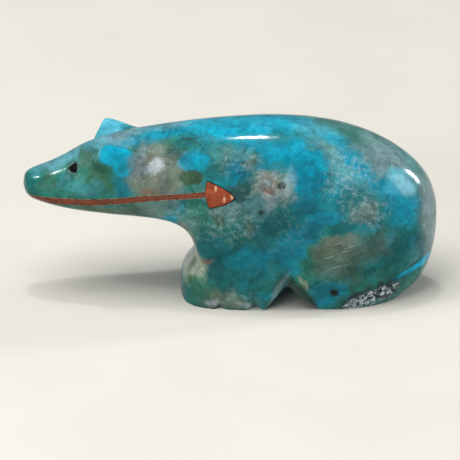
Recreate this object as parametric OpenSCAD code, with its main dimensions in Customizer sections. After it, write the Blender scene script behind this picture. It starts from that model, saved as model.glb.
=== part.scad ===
// Carved stone bear with an inlaid heartline, arrowhead and eyes.
// Nose towards -X, left flank towards -Y, +Z up, origin under the middle of the base.

/* [Bear] */
// Length from the nose to the rump
body_l = 70; // [60:1:80]
// Thickness across the belly
body_w = 22; // [20:0.5:25]
// Height from the base to the top of the back
body_h = 31.2; // [28:0.2:34]

/* [Arch between fore and hind legs] */
// Width of the arch at the base
arch_w = 9; // [8:0.25:10]
// Height of the arch on the centre line
arch_h = 4; // [3.6:0.1:5]
// Depth in from the flank at which the flared mouth of the arch ends
flare_depth = 1; // [0.6:0.1:2]

/* [Eyes] */
// Diameter of the drilled eye socket
socket_d = 2.4; // [2.3:0.1:2.6]
// Diameter of the eye bead
bead_d = 1.8; // [1.5:0.1:1.8]
// Depth of the socket below the cheek
socket_depth = 1.6; // [1.2:0.1:2]

/* [Inlay] */
// Height of the heartline at the mouth
line_front_w = 1.2; // [1:0.05:1.3]
// Height of the heartline at the arrowhead
line_rear_w = 0.9; // [0.7:0.05:1]
// Depth of the heartline and arrowhead inlays
inlay_depth = 1.2; // [0.8:0.1:1.6]
// Thickness of the cement round and under an inlay
glue_t = 0.14; // [0.1:0.01:0.18]

/* [Hidden] */
$fn = 48;

// The lists below are drawn for this length, thickness and height, and scaled from it.
k = [body_l / 70, body_w / 22, body_h / 31.2];

// Cross-sections of the trunk from nose to rump:
// x, bottom, level of the widest point, top, half width, roundness of the crown.
SECTIONS = [
    [-35.0, 19.4, 19.6, 19.8, 0.2, 2.0],
    [-34.7, 18.4, 19.5, 21.1, 1.6, 2.0],
    [-33.9, 17.4, 19.3, 21.9, 2.6, 1.9],
    [-32.4, 16.8, 19.2, 22.6, 3.4, 1.8],
    [-30.0, 16.2, 19.0, 23.6, 4.3, 1.7],
    [-27.0, 15.7, 18.9, 25.2, 5.2, 1.7],
    [-24.0, 15.3, 19.2, 26.9, 5.9, 1.7],
    [-20.0, 14.8, 19.6, 28.3, 6.4, 1.8],
    [-16.0, 14.5, 19.7, 29.2, 6.8, 1.9],
    [-12.0, 14.2, 19.4, 29.8, 7.6, 2.0],
    [-9.0, 13.5, 18.6, 30.12, 8.4, 2.1],
    [-6.9, 11.7, 17.9, 30.33, 8.9, 2.17],
    [-5.8, 8.6, 17.55, 30.44, 9.15, 2.2],
    [-5.2, 6.6, 17.35, 30.5, 9.28, 2.2],
    [-4.3, 4.0, 17.05, 30.57, 9.45, 2.25],
    [-2.6, -2.0, 16.5, 30.72, 9.75, 2.27],
    [0.5, -12.0, 15.5, 30.95, 10.3, 2.3],
    [6.5, -7.5, 14.2, 31.2, 10.8, 2.3],
    [12.5, -6.0, 14.0, 30.9, 11.0, 2.3],
    [18.0, -6.5, 14.0, 30.0, 10.8, 2.3],
    [22.5, -5.5, 14.0, 28.6, 10.1, 2.3],
    [26.0, -3.2, 14.0, 27.0, 9.1, 2.3],
    [29.0, -0.4, 14.0, 25.2, 7.8, 2.2],
    [31.6, 1.8, 14.0, 23.0, 6.0, 2.1],
    [33.6, 5.2, 14.0, 20.3, 3.8, 2.0],
    [34.7, 9.4, 14.0, 17.0, 1.7, 2.0],
    [35.0, 13.6, 13.8, 14.0, 0.2, 2.0]
];
KEEL_ROUNDNESS = 2.6;
SECTION_POINTS = 36;
STEPS = 3;

// Forepaws in plan at rising levels: z, front, half width, squareness of the toes.
PAWS = [
    [-1.0, -8.3, 9.2, 3.6],
    [1.5, -8.3, 9.4, 3.4],
    [3.0, -8.2, 9.4, 3.1],
    [4.4, -7.7, 9.4, 2.8],
    [5.8, -6.7, 9.4, 2.6],
    [7.4, -5.4, 9.2, 2.4],
    [9.5, -3.6, 8.6, 2.2]
];
PAW_REAR = 3;
PAW_POINTS = 32;

// Left ear, from its pointed front to the ridge that runs back into the neck:
// x, y and z of the middle, half thickness, half height.
EAR = [
    [-23.1, -4.3, 25.2, 0.2, 0.3],
    [-22.7, -4.5, 25.4, 0.8, 1.1],
    [-21.9, -4.8, 25.9, 1.2, 2.1],
    [-21.2, -5.0, 26.3, 1.4, 2.8],
    [-20.1, -5.0, 26.3, 1.6, 2.7],
    [-18.0, -5.0, 25.9, 1.8, 2.4],
    [-15.8, -4.9, 25.7, 1.6, 1.9],
    [-13.6, -4.7, 25.9, 1.2, 1.4],
    [-11.8, -4.5, 26.0, 0.4, 0.5]
];
EAR_LEAN = 12;
EAR_RIDGE = 1.5;
EAR_POINTS = 20;

// Arch: x of its foot behind the forelegs, x of its peak, radius of the peak
// and the angle round the peak at which the straight sides leave it.
ARCH_FRONT = 6;
ARCH_PEAK = 9.7;
ARCH_R = 0.7;
ARCH_SHOULDER = 40;
// Flared mouth of the arch: how far its peak moves towards the rump and up, over what distance out.
FLARE_SHIFT = 0.3;
FLARE_RISE = 8.5;
FLARE_RUN = 4;
// Half width of the base beside the arch.
BASE_HALF_W = 9.4;

// Grooves between the toes of a forepaw: x, depth; lean of their bottom edge outwards, and the angle
// by which each side opens from the middle.
TOES = [[-1.6, 1.5], [4.3, 1.9]];
TOE_LEAN = 30;
TOE_SPREAD = 37;
// Grooves between the two forefeet and between the two hind feet: x of the outer end at the base,
// depth, lean of the bottom edge outwards. Their sides open by this angle from the middle.
FOOT_GROOVES = [[-8.4, 1.6, 12], [31.5, -1.8, 20]];
FOOT_SPREAD = 31;
// Height that the toe and foot grooves are cut through, and how far a cutter stands off the skin.
GROOVE_H = 12;
REACH = 3;

// Left eye: its centre on the cheek, its tilt down from straight up and its turn towards the nose.
EYE = [-26.4, -3.25, 23.7];
EYE_TILT = 46;
EYE_TURN = 12;
// The bead sits this far above the middle of its socket.
BEAD_SHIFT = 0.15;
// Rise of the domed bead above the cheek.
BEAD_RISE = 0.25;
BEAD_DOME_R = 1.3;
// Depth of the cement's rim below the middle of the cheek over the socket.
CEMENT_SINK = 0.25;

// Bends of the left heartline on the flank: x, y, z.
BENDS = [[-33.8, -2.6, 17.7], [-20, -6.2, 18.8], [-10.6, -7.9, 20.3], [-4, -9.4, 21.4]];
LINE_W = [line_front_w, (line_front_w + line_rear_w) / 2, line_rear_w, line_rear_w];
// Sections of the trunk between which the heartline and the arrowhead lie.
LINE_SPAN = [0, 15];
ARROW_SPAN = [12, 17];

// Outline of the arrowhead from the left: x, z. It is cut square to a line on the flank.
ARROW = [
    [-3.9, 23.6], [-1.5, 22.7], [-0.1, 21.9], [0.75, 21.1],
    [0.2, 20.5], [-1.1, 19.8], [-3.5, 19], [-4.2, 21.3]
];
ARROW_LINE = [[-4.2, -9.6, 21.5], [0.9, -10.3, 21.5]];
// Size of a cutter larger than the bear, and thickness of the end slabs of the flared mouth.
BIG = 200;
SHEET = 0.1;

function spline(p, i, t) =
    let (p0 = p[max(i - 1, 0)], p1 = p[i], p2 = p[i + 1], p3 = p[min(i + 2, len(p) - 1)])
    0.5 * (2 * p1 + (p2 - p0) * t + (2 * p0 - 5 * p1 + 4 * p2 - p3) * t * t
        + (3 * p1 - p0 - 3 * p2 + p3) * t * t * t);
function smooth_rows(rows, steps) = [
    for (i = [0 : len(rows) - 2]) for (s = [0 : steps - 1]) spline(rows, i, s / steps),
    rows[len(rows) - 1]
];
// Distance to a superellipse of unit half axes in the direction a.
function bulge(a, n) = pow(pow(abs(cos(a)), n) + pow(abs(sin(a)), n), -1 / n);
function scaled(p) = [p[0] * k[0], p[1] * k[1], p[2] * k[2]];

function section_ring(s) = [
    for (j = [0 : SECTION_POINTS - 1])
        let (
            a = 360 * j / SECTION_POINTS,
            rise = sin(a) < 0 ? s[2] - s[1] : s[3] - s[2],
            r = bulge(a, sin(a) < 0 ? KEEL_ROUNDNESS : s[5])
        )
        scaled([s[0], -s[4] * cos(a) * r, s[2] + rise * sin(a) * r])
];
function paw_ring(s) = [
    for (j = [0 : PAW_POINTS - 1])
        let (a = 360 * j / PAW_POINTS, r = bulge(a, s[3]))
        scaled([PAW_REAR + (PAW_REAR - s[1]) * cos(a) * r, -s[2] * sin(a) * r, s[0]])
];
function ear_ring(s) = [
    for (j = [0 : EAR_POINTS - 1])
        let (
            a = 360 * j / EAR_POINTS,
            r = bulge(a, sin(a) > 0 ? EAR_RIDGE : 2),
            out = s[3] * cos(a) * r,
            up = s[4] * sin(a) * r
        )
        scaled([
            s[0],
            s[1] - out * cos(EAR_LEAN) - up * sin(EAR_LEAN),
            s[2] + up * cos(EAR_LEAN) - out * sin(EAR_LEAN)
        ])
];
TRUNK_RINGS = [for (s = smooth_rows(SECTIONS, STEPS)) section_ring(s)];

// Closed skin over rings of equal length, the first and the last ring flat.
module skin(rings) {
    n = len(rings[0]);
    last = len(rings) - 1;
    // Each patch starts at a corner that makes the two flanks mirror images.
    quads = [
        for (i = [0 : last - 1]) for (j = [0 : n - 1])
            let (near = i * n + j, next = i * n + (j + 1) % n)
            abs(j + 0.5 - n / 2) < n / 4
                ? [near, next, next + n, near + n]
                : [next, next + n, near + n, near]
    ];
    polyhedron(
        points = [for (ring = rings) each ring],
        faces = [
            [for (j = [n - 1 : -1 : 0]) j],
            for (q = quads) each [[q[0], q[1], q[2]], [q[0], q[2], q[3]]],
            [for (j = [0 : n - 1]) last * n + j]
        ]
    );
}
// The trunk between two of its sections, with the same skin as the whole trunk.
module trunk_between(span) {
    skin([for (i = [span[0] * STEPS : span[1] * STEPS]) TRUNK_RINGS[i]]);
}
module forepaws() {
    skin([for (s = smooth_rows(PAWS, 2)) paw_ring(s)]);
}

module ear() {
    skin([for (s = smooth_rows(EAR, 2)) ear_ring(s)]);
}

// Outline of the arch in x and z with its peak moved back and up.
module arch_outline(shift, rise) {
    front = ARCH_FRONT * k[0];
    peak = [ARCH_PEAK * k[0] + shift, arch_h - ARCH_R + rise];
    side = ARCH_R * cos(ARCH_SHOULDER);
    shoulder = peak[1] + ARCH_R * sin(ARCH_SHOULDER);
    polygon([
        [front - 1, -1], [front, 0], [peak[0] - side, shoulder],
        [peak[0] + side, shoulder], [front + arch_w, 0], [front + arch_w + 1, -1]
    ]);
    translate(peak) circle(ARCH_R);
}
// A slab across the bear from y = near to y = far, over an outline in x and z.
module across(near, far) {
    translate([0, far, 0]) rotate([90, 0, 0]) linear_extrude(far - near) children();
}
// Mouth of the arch, flared up the left flank.
module arch_flare() {
    inner = flare_depth - BASE_HALF_W * k[1];
    outer = inner - FLARE_RUN;
    hull() {
        across(inner, inner + SHEET) arch_outline(0, 0);
        across(outer, outer + SHEET) arch_outline(FLARE_SHIFT, FLARE_RISE);
    }
}
// Upright V groove with its bottom edge on the Z axis, open towards -Y.
module v_groove(spread) {
    run = REACH * tan(spread);
    translate([0, 0, -REACH])
        linear_extrude(GROOVE_H + REACH)
        polygon([[0, 0], [-run, -REACH], [run, -REACH]]);
}
// Groove between two toes of the left forepaw.
module toe_groove(toe) {
    translate([toe[0] * k[0], toe[1] - BASE_HALF_W * k[1], 0])
        rotate([TOE_LEAN, 0, 0])
        v_groove(TOE_SPREAD);
}
// Groove between a left and a right foot, open towards the nose or the rump.
module foot_groove(groove) {
    translate([groove[0] * k[0] + groove[1], 0, 0])
        rotate([groove[2], 0, groove[1] > 0 ? -90 : 90])
        v_groove(FOOT_SPREAD);
}

// Straight slot through the skin. It follows the line from p to q in plan, its outline is drawn
// along that line and up, and its floor lies depth below the line.
module slot(p, q, depth) {
    translate([p[0], p[1], 0])
        rotate([0, 0, atan2(q[1] - p[1], q[0] - p[0])])
        translate([-p[0], 0, 0])
        across(-REACH, depth) children();
}
module line_outline(i, wider, longer) {
    p = scaled(BENDS[i]);
    q = scaled(BENDS[i + 1]);
    run = norm([q[0] - p[0], q[1] - p[1]]) + p[0];
    a = LINE_W[i] / 2 + wider;
    b = LINE_W[i + 1] / 2 + wider;
    polygon([
        [p[0] - longer, p[2] - a], [run + longer, q[2] - b],
        [run + longer, q[2] + b], [p[0] - longer, p[2] + a]
    ]);
}
// Slot of one straight run of the heartline, cut off square to X at both bends.
module line_slot(i, wider, deeper, gap) {
    p = scaled(BENDS[i]);
    q = scaled(BENDS[i + 1]);
    start = p[0] + gap;
    stop = q[0] - gap;
    intersection() {
        slot(p, q, inlay_depth + deeper) line_outline(i, wider, 1);
        translate([start, -BIG / 2, 0]) cube([stop - start, BIG / 2, BIG]);
    }
}
module line_channel() {
    for (i = [0 : len(BENDS) - 2]) line_slot(i, glue_t, glue_t, 0);
}
module sliver(i) {
    difference() {
        intersection() {
            trunk_between(LINE_SPAN);
            line_slot(i, 0, 0, glue_t / 2);
        }
        arrow_slot(glue_t, glue_t);
    }
}
module arrow_slot(wider, deeper) {
    slot(scaled(ARROW_LINE[0]), scaled(ARROW_LINE[1]), inlay_depth + deeper)
        offset(delta = wider) polygon([for (p = ARROW) [p[0] * k[0], p[1] * k[2]]]);
}

module at_eye() {
    translate(scaled(EYE)) rotate([EYE_TILT, 0, -EYE_TURN]) children();
}
module eye_socket() {
    at_eye() translate([0, 0, -socket_depth]) cylinder(h = socket_depth + REACH, d = socket_d);
}
// Space of the bead, from its flat back to above the cheek.
module bead_hole() {
    translate([0, BEAD_SHIFT, glue_t - socket_depth]) cylinder(h = socket_depth + REACH, d = bead_d);
}
module eye_bead() {
    at_eye() intersection() {
        bead_hole();
        translate([0, BEAD_SHIFT, BEAD_RISE - BEAD_DOME_R]) sphere(BEAD_DOME_R);
    }
}
// Cement round the bead, which ends a little below the cheek.
module eye_cement() {
    at_eye() difference() {
        translate([0, 0, -socket_depth]) cylinder(h = socket_depth - CEMENT_SINK, d = socket_d);
        bead_hole();
    }
}
module line_cement() {
    difference() {
        intersection() {
            trunk_between(LINE_SPAN);
            line_channel();
        }
        for (i = [0 : len(BENDS) - 2]) line_slot(i, 0, 0, glue_t / 2);
        arrow_slot(glue_t, glue_t);
    }
}
module arrowhead() {
    intersection() {
        trunk_between(ARROW_SPAN);
        arrow_slot(0, 0);
    }
}
module arrow_cement() {
    difference() {
        intersection() {
            trunk_between(ARROW_SPAN);
            arrow_slot(glue_t, glue_t);
        }
        arrow_slot(0, 0);
    }
}

module stone_body() {
    color([0.16, 0.52, 0.54]) difference() {
        union() {
            trunk_between([0, len(SECTIONS) - 1]);
            forepaws();
            ear();
            mirror([0, 1, 0]) ear();
        }
        translate([-BIG / 2, -BIG / 2, -BIG]) cube(BIG);
        across(-BIG / 2, BIG / 2) arch_outline(0, 0);
        for (side = [0, 1]) mirror([0, side, 0]) {
            arch_flare();
            for (toe = TOES) toe_groove(toe);
            eye_socket();
            line_channel();
            arrow_slot(glue_t, glue_t);
        }
        for (groove = FOOT_GROOVES) foot_groove(groove);
    }
}

module eye_left() {
    color([0.04, 0.04, 0.05]) eye_bead();
}
module eye_glue_left() {
    color([0.62, 0.6, 0.5]) eye_cement();
}
module heartline_left(i) {
    color([0.45, 0.22, 0.15]) sliver(i);
}
module heartline_glue_left() {
    color([0.1, 0.1, 0.09]) line_cement();
}
module arrowhead_left() {
    color([0.66, 0.29, 0.16]) arrowhead();
}
module arrowhead_glue_left() {
    color([0.1, 0.1, 0.09]) arrow_cement();
}

stone_body();
eye_left();  // left_eye
eye_glue_left();  // left_eye_glue
heartline_left(0);  // left_heartline_front
heartline_left(1);  // left_heartline_middle
heartline_left(2);  // left_heartline_rear
heartline_glue_left();  // left_heartline_glue
arrowhead_left();  // left_arrowhead
arrowhead_glue_left();  // left_arrowhead_glue
mirror([0, 1, 0]) eye_left();  // right_eye
mirror([0, 1, 0]) eye_glue_left();  // right_eye_glue
mirror([0, 1, 0]) heartline_left(0);  // right_heartline_front
mirror([0, 1, 0]) heartline_left(1);  // right_heartline_middle
mirror([0, 1, 0]) heartline_left(2);  // right_heartline_rear
mirror([0, 1, 0]) heartline_glue_left();  // right_heartline_glue
mirror([0, 1, 0]) arrowhead_left();  // right_arrowhead
mirror([0, 1, 0]) arrowhead_glue_left();  // right_arrowhead_glue
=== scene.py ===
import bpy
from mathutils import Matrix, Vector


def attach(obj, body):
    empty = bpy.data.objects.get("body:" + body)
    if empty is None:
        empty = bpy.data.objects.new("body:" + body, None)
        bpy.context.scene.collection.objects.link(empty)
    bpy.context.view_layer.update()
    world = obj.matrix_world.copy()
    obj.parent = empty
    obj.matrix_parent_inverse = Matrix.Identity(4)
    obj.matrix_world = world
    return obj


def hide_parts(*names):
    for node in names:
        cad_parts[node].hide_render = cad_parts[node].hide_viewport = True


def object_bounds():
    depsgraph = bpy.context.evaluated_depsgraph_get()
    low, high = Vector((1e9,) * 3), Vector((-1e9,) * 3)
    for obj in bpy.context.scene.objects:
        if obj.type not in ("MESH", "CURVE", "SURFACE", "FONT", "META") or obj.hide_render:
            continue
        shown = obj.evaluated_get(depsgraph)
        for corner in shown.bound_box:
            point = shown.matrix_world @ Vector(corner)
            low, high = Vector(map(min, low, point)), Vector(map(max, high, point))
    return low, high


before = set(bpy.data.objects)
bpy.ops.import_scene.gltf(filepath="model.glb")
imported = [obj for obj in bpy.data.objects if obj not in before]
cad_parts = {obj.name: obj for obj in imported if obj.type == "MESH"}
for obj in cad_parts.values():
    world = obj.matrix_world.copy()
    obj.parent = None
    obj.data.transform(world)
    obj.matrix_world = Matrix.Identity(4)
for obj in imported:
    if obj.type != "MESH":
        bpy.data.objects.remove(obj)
CAD_BOX = [list(corner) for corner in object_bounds()]

import math

import bmesh
import bpy
import numpy as np
from mathutils import Vector
from mathutils.bvhtree import BVHTree

# Polished turquoise bear with an inlaid heartline, arrowhead and eyes.
# Shapes are worked out in millimetres in the frame of the CAD model and stored in metres.
MM = 0.001
LEFT, RIGHT = -1, 1

# ---------------------------------------------------------------- shapes: stone, inlays and wear

# The tables of the trunk, the paws and the left ear are those of the CAD model.
# Trunk from nose to rump: x, bottom, level of the widest point, top, half width, roundness of the crown.
SECTIONS = [
    [-35.0, 19.4, 19.6, 19.8, 0.2, 2.0],
    [-34.7, 18.4, 19.5, 21.1, 1.6, 2.0],
    [-33.9, 17.4, 19.3, 21.9, 2.6, 1.9],
    [-32.4, 16.8, 19.2, 22.6, 3.4, 1.8],
    [-30.0, 16.2, 19.0, 23.6, 4.3, 1.7],
    [-27.0, 15.7, 18.9, 25.2, 5.2, 1.7],
    [-24.0, 15.3, 19.2, 26.9, 5.9, 1.7],
    [-20.0, 14.8, 19.6, 28.3, 6.4, 1.8],
    [-16.0, 14.5, 19.7, 29.2, 6.8, 1.9],
    [-12.0, 14.2, 19.4, 29.8, 7.6, 2.0],
    [-9.0, 13.5, 18.6, 30.12, 8.4, 2.1],
    [-6.9, 11.7, 17.9, 30.33, 8.9, 2.17],
    [-5.8, 8.6, 17.55, 30.44, 9.15, 2.2],
    [-5.2, 6.6, 17.35, 30.5, 9.28, 2.2],
    [-4.3, 4.0, 17.05, 30.57, 9.45, 2.25],
    [-2.6, -2.0, 16.5, 30.72, 9.75, 2.27],
    [0.5, -12.0, 15.5, 30.95, 10.3, 2.3],
    [6.5, -7.5, 14.2, 31.2, 10.8, 2.3],
    [12.5, -6.0, 14.0, 30.9, 11.0, 2.3],
    [18.0, -6.5, 14.0, 30.0, 10.8, 2.3],
    [22.5, -5.5, 14.0, 28.6, 10.1, 2.3],
    [26.0, -3.2, 14.0, 27.0, 9.1, 2.3],
    [29.0, -0.4, 14.0, 25.2, 7.8, 2.2],
    [31.6, 1.8, 14.0, 23.0, 6.0, 2.1],
    [33.6, 5.2, 14.0, 20.3, 3.8, 2.0],
    [34.7, 9.4, 14.0, 17.0, 1.7, 2.0],
    [35.0, 13.6, 13.8, 14.0, 0.2, 2.0],
]
KEEL_ROUNDNESS = 2.6
# Forepaws in plan at rising levels: z, front, half width, squareness of the toes.
PAWS = [
    [-1.0, -8.3, 9.2, 3.6], [1.5, -8.3, 9.4, 3.4], [3.0, -8.2, 9.4, 3.1], [4.4, -7.7, 9.4, 2.8],
    [5.8, -6.7, 9.4, 2.6], [7.4, -5.4, 9.2, 2.4], [9.5, -3.6, 8.6, 2.2],
]
PAW_REAR = 3
# Left ear: x, y and z of the middle, half thickness, half height.
EAR = [
    [-23.1, -4.3, 25.2, 0.2, 0.3], [-22.7, -4.5, 25.4, 0.8, 1.1], [-21.9, -4.8, 25.9, 1.2, 2.1],
    [-21.2, -5.0, 26.3, 1.4, 2.8], [-20.1, -5.0, 26.3, 1.6, 2.7], [-18.0, -5.0, 25.9, 1.8, 2.4],
    [-15.8, -4.9, 25.7, 1.6, 1.9], [-13.6, -4.7, 25.9, 1.2, 1.4], [-11.8, -4.5, 26.0, 0.4, 0.5],
]
EAR_LEAN = 12
EAR_RIDGE = 1.5
# Where the ears grow out of the head and neck: centre with y outwards, radii.
EAR_ROOTS = [
    ((-16.5, 6.2, 25.2), (5.5, 3.6, 3.4)),
    ((-20.5, 6.0, 23.6), (3.6, 3.2, 2.2)),
    ((-19.5, 2.4, 27.2), (5, 2.4, 1.8)),
]
# Ear tips, rounded by smoothing and lifted again to keep their height: centre, radii.
EAR_TIP, EAR_TIP_LIFT = ((-20.6, 6.3, 28.2), (3, 3, 2.6)), 0.14
# Arch between fore and hind legs, and the flare of its two mouths.
ARCH_FRONT, ARCH_W, ARCH_H = 6, 9, 4
ARCH_PEAK, ARCH_R = 9.7, 0.7
FLARE_DEPTH, FLARE_SHIFT, FLARE_RISE, FLARE_RUN = 1, 0.3, 8.5, 4
BASE_HALF_W = 9.4
# Notches between the toes: x, depth. Grooves between left and right feet: x, depth along +X, lean.
TOES = [(-1.6, 1.5), (4.3, 1.9)]
TOE_LEAN, TOE_SPREAD = 30, 37
FOOT_GROOVES = [(-8.4, 1.6, 12), (31.5, -1.8, 20)]
FOOT_SPREAD = 31
# Left eye: its place on the cheek, and its tilt out from straight up and turn to the nose in degrees.
EYE = (-26.4, -3.25, 23.7)
EYE_TILT, EYE_TURN = 46, 12
SOCKET_D, RESIN_DEPTH, BEAD_DEPTH = 2.4, 1.55, 1.4
# Black bead: corners of its worn D shape, across and up, and how little they are softened.
BEAD = [
    (0.1, 1.0), (0.5, 0.85), (0.62, 0.3), (0.74, -0.3), (0.62, -0.84),
    (0.1, -0.86), (-0.4, -0.7), (-0.9, -0.1), (-0.75, 0.35), (-0.25, 0.7),
]
BEAD_TIGHTNESS = 0.6
# Bends of the heartline on the flank: x, distance out, z, half height.
LINE = [(-33.8, 2.6, 17.7, 0.6), (-20, 6.2, 18.8, 0.54), (-10.6, 7.9, 20.3, 0.45), (-4, 9.4, 21.4, 0.45)]
INLAY_DEPTH, GLUE = 1.2, 0.14
# Joints between the slivers along x, and half the gap in them.
JOINTS, JOINT_GAP = [-33.95, -20, -10.6, -4.2], 0.02
# How far the saw strays from its line, and its waves along the lower and the upper edge: size, seed.
SAW_WANDER, SAW_WAVES = 0.04, [(2.5, 11), (3.1, 12)]
# The channel is wider than the slivers, and longer at both ends. Its cement lies a little under the stone.
CHANNEL_GROW, CHANNEL_RUN_OUT, CEMENT_SINK = 0.09, 0.4, 0.05
# Arrowhead: corners as x and z, the point its pieces are laid out from, and how little it is softened.
ARROW = [
    (-3.9, 23.6), (-1.5, 22.7), (-0.1, 21.9), (0.75, 21.1),
    (0.2, 20.5), (-1.1, 19.8), (-3.5, 19), (-4.2, 21.3),
]
ARROW_X, ARROW_Z = -1.8, 21.2
ARROW_TIGHTNESS = 0.86
ARROW_DEPTH, POCKET_DEPTH = 1.1, 1.25
# The pocket is larger than the arrowhead and off its middle, so the cement's edge is uneven.
POCKET_SCALE, POCKET_OFFSET = 1.085, (0.12, 0.03)
# Crowns of the pieces let in: share of the outline, height over the stone, from the edge to the middle.
ARROW_CROWN = [(1, -0.1), (0.985, -0.04), (0.93, 0.015), (0.7, 0.04), (0.35, 0.05)]
ARROW_BED_CROWN = [(1, -0.05), (0.98, -0.06), (0.5, -0.3)]
BEAD_CROWN = [(1, -0.2), (0.97, -0.05), (0.88, 0.06), (0.7, 0.14), (0.45, 0.2), (0.2, 0.23)]
RESIN_CROWN = [(1, -0.01), (0.955, 0.015), (0.91, -0.03), (0.84, -0.09), (0.6, -0.1), (0.3, -0.1)]
CUTTER_CROWN = [(1, 1), (0.5, 1)]

# Wear of the stone. Layers of noise: height, size, seed.
UNEVEN = [(0.05, 7, 1), (0.012, 2.2, 2)]
GRIT = [(0.5, 0.9, 3), (0.5, 0.45, 4)]
# Chips and hollows left by the carver: centre, radii, depth, roughness.
CHIPS = [
    ((23.6, -9.3, 1.7), (4.2, 3.2, 1.9), 0.16, 0.35),
    ((27.0, -7.6, 3.0), (3.2, 2.6, 1.4), 0.12, 0.3),
    ((20.8, -9.3, 0.9), (1.6, 1.6, 1.2), 0.22, 0.3),
    ((-2.8, -9.1, 1.2), (1.0, 1.0, 0.9), 0.3, 0.2),
    ((2.7, -9.6, 1.0), (1.3, 1.2, 1.0), 0.35, 0.25),
    ((8.7, -9.6, 23.3), (0.7, 0.9, 0.6), 0.06, 0.0),
    ((6.2, -9.9, 22.3), (0.7, 0.9, 0.5), 0.2, 0.1),
    ((5.2, -10.5, 18.6), (0.5, 0.8, 0.5), 0.06, 0.0),
    ((-3.6, -8.4, 8.0), (0.9, 1.0, 1.3), 0.25, 0.1),
    ((9.6, -9.4, 8.4), (1.0, 1.2, 0.6), 0.15, 0.15),
    ((24.0, 9.0, 1.2), (3.0, 3.0, 1.1), 0.2, 0.3),
    ((-5.2, 8.6, 1.0), (1.3, 1.2, 0.9), 0.3, 0.2),
    ((31.0, 2.0, 2.0), (1.8, 2.2, 1.2), 0.15, 0.25),
]
# Rounds of smoothing of the whole stone, of the ear roots and of the ear tips, and the share of each round.
ROUNDS_ALL, ROUNDS_ROOTS, ROUNDS_TIPS, SMOOTHING = 4, 40, 10, 0.5
# The sole is what lies this low and faces down this much. It is kept flat.
SOLE_Z, SOLE_FACING = 0.15, -0.7

# Grain of the stone's mesh, and the distance under which points are joined at the end.
VOXEL, WELD = 0.28, 0.006


def spline_rows(rows, steps):
    """Rows of numbers joined by a Catmull-Rom spline, with this many steps between two rows."""
    rows = np.array(rows, float)
    last = len(rows) - 1
    t = np.arange(steps)[:, None] / steps
    runs = []
    for i in range(last):
        a, b, c, d = rows[max(i - 1, 0)], rows[i], rows[i + 1], rows[min(i + 2, last)]
        square, cube = 2 * a - 5 * b + 4 * c - d, 3 * b - a - 3 * c + d
        runs.append(0.5 * (2 * b + (c - a) * t + square * t**2 + cube * t**3))
    return np.vstack(runs + [rows[-1:]])


def bulge(cos, sin, n):
    """Distance to a superellipse of unit half axes in a direction."""
    return (np.abs(cos) ** n + np.abs(sin) ** n) ** (-1 / n)


def turn(count):
    """Cosines and sines of this many even steps round a circle."""
    a = np.arange(count) * 2 * math.pi / count
    return np.cos(a), np.sin(a)


def trunk_rings(steps=10, around=128):
    cos, sin = turn(around)
    rings = []
    for x, bottom, level, top, half, crown in spline_rows(SECTIONS, steps):
        low = sin < 0
        r = np.where(low, bulge(cos, sin, KEEL_ROUNDNESS), bulge(cos, sin, crown))
        rise = np.where(low, level - bottom, top - level)
        rings.append(np.stack([np.full(around, x), -half * cos * r, level + rise * sin * r], 1))
    return rings


def paw_rings(steps=6, around=96):
    cos, sin = turn(around)
    rings = []
    for z, front, half, square in spline_rows(PAWS, steps):
        r = bulge(cos, sin, square)
        x = PAW_REAR + (PAW_REAR - front) * cos * r
        rings.append(np.stack([x, -half * sin * r, np.full(around, z)], 1))
    return rings


def ear_rings(side, steps=6, around=48):
    cos, sin = turn(around)
    lean = math.radians(EAR_LEAN)
    rings = []
    for x, y, z, half, high in spline_rows(EAR, steps):
        r = np.where(sin > 0, bulge(cos, sin, EAR_RIDGE), 1)
        out, up = half * cos * r, high * sin * r
        ring = [
            np.full(around, x),
            -side * (y - out * math.cos(lean) - up * math.sin(lean)),
            z + up * math.cos(lean) - out * math.sin(lean),
        ]
        rings.append(np.stack(ring, 1))
    return rings


# ---------------------------------------------------------------- meshes

def mesh_object(name, points, faces):
    """A mesh object from points in millimetres, its faces turned outwards."""
    mesh = bpy.data.meshes.new(name)
    mesh.from_pydata((np.asarray(points, float) * MM).tolist(), [], [list(f) for f in faces])
    bm = bmesh.new()
    bm.from_mesh(mesh)
    bmesh.ops.recalc_face_normals(bm, faces=bm.faces)
    bm.to_mesh(mesh)
    bm.free()
    obj = bpy.data.objects.new(name, mesh)
    bpy.context.scene.collection.objects.link(obj)
    return obj


def band_faces(n, bands):
    """Quads of this many bands between rings of n points."""
    return [
        (i * n + j, i * n + (j + 1) % n, (i + 1) * n + (j + 1) % n, (i + 1) * n + j)
        for i in range(bands)
        for j in range(n)
    ]


def loft(name, rings):
    """Closed solid over rings of equal length."""
    rings = [np.asarray(ring, float) for ring in rings]
    n, last = len(rings[0]), len(rings) - 1
    faces = band_faces(n, last) + [range(n), range(last * n, last * n + n)]
    return mesh_object(name, np.vstack(rings), faces)


def apply_modifier(obj, kind, **settings):
    modifier = obj.modifiers.new("step", kind)
    for key, value in settings.items():
        setattr(modifier, key, value)
    graph = bpy.context.evaluated_depsgraph_get()
    mesh = bpy.data.meshes.new_from_object(obj.evaluated_get(graph))
    obj.modifiers.clear()
    old = obj.data
    obj.data = mesh
    bpy.data.meshes.remove(old)


def combine(obj, others, operation, keep=False):
    """Boolean of obj with each of the others, which are then removed unless they are kept."""
    for other in others:
        apply_modifier(obj, "BOOLEAN", operation=operation, object=other, solver="MANIFOLD")
        if not keep:
            bpy.data.objects.remove(other)


def copy_of(obj, name):
    twin = bpy.data.objects.new(name, obj.data.copy())
    bpy.context.scene.collection.objects.link(twin)
    return twin


def get_points(mesh):
    flat = np.empty(len(mesh.vertices) * 3, np.float32)
    mesh.vertices.foreach_get("co", flat)
    return flat.reshape(-1, 3).astype(float) / MM


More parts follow.
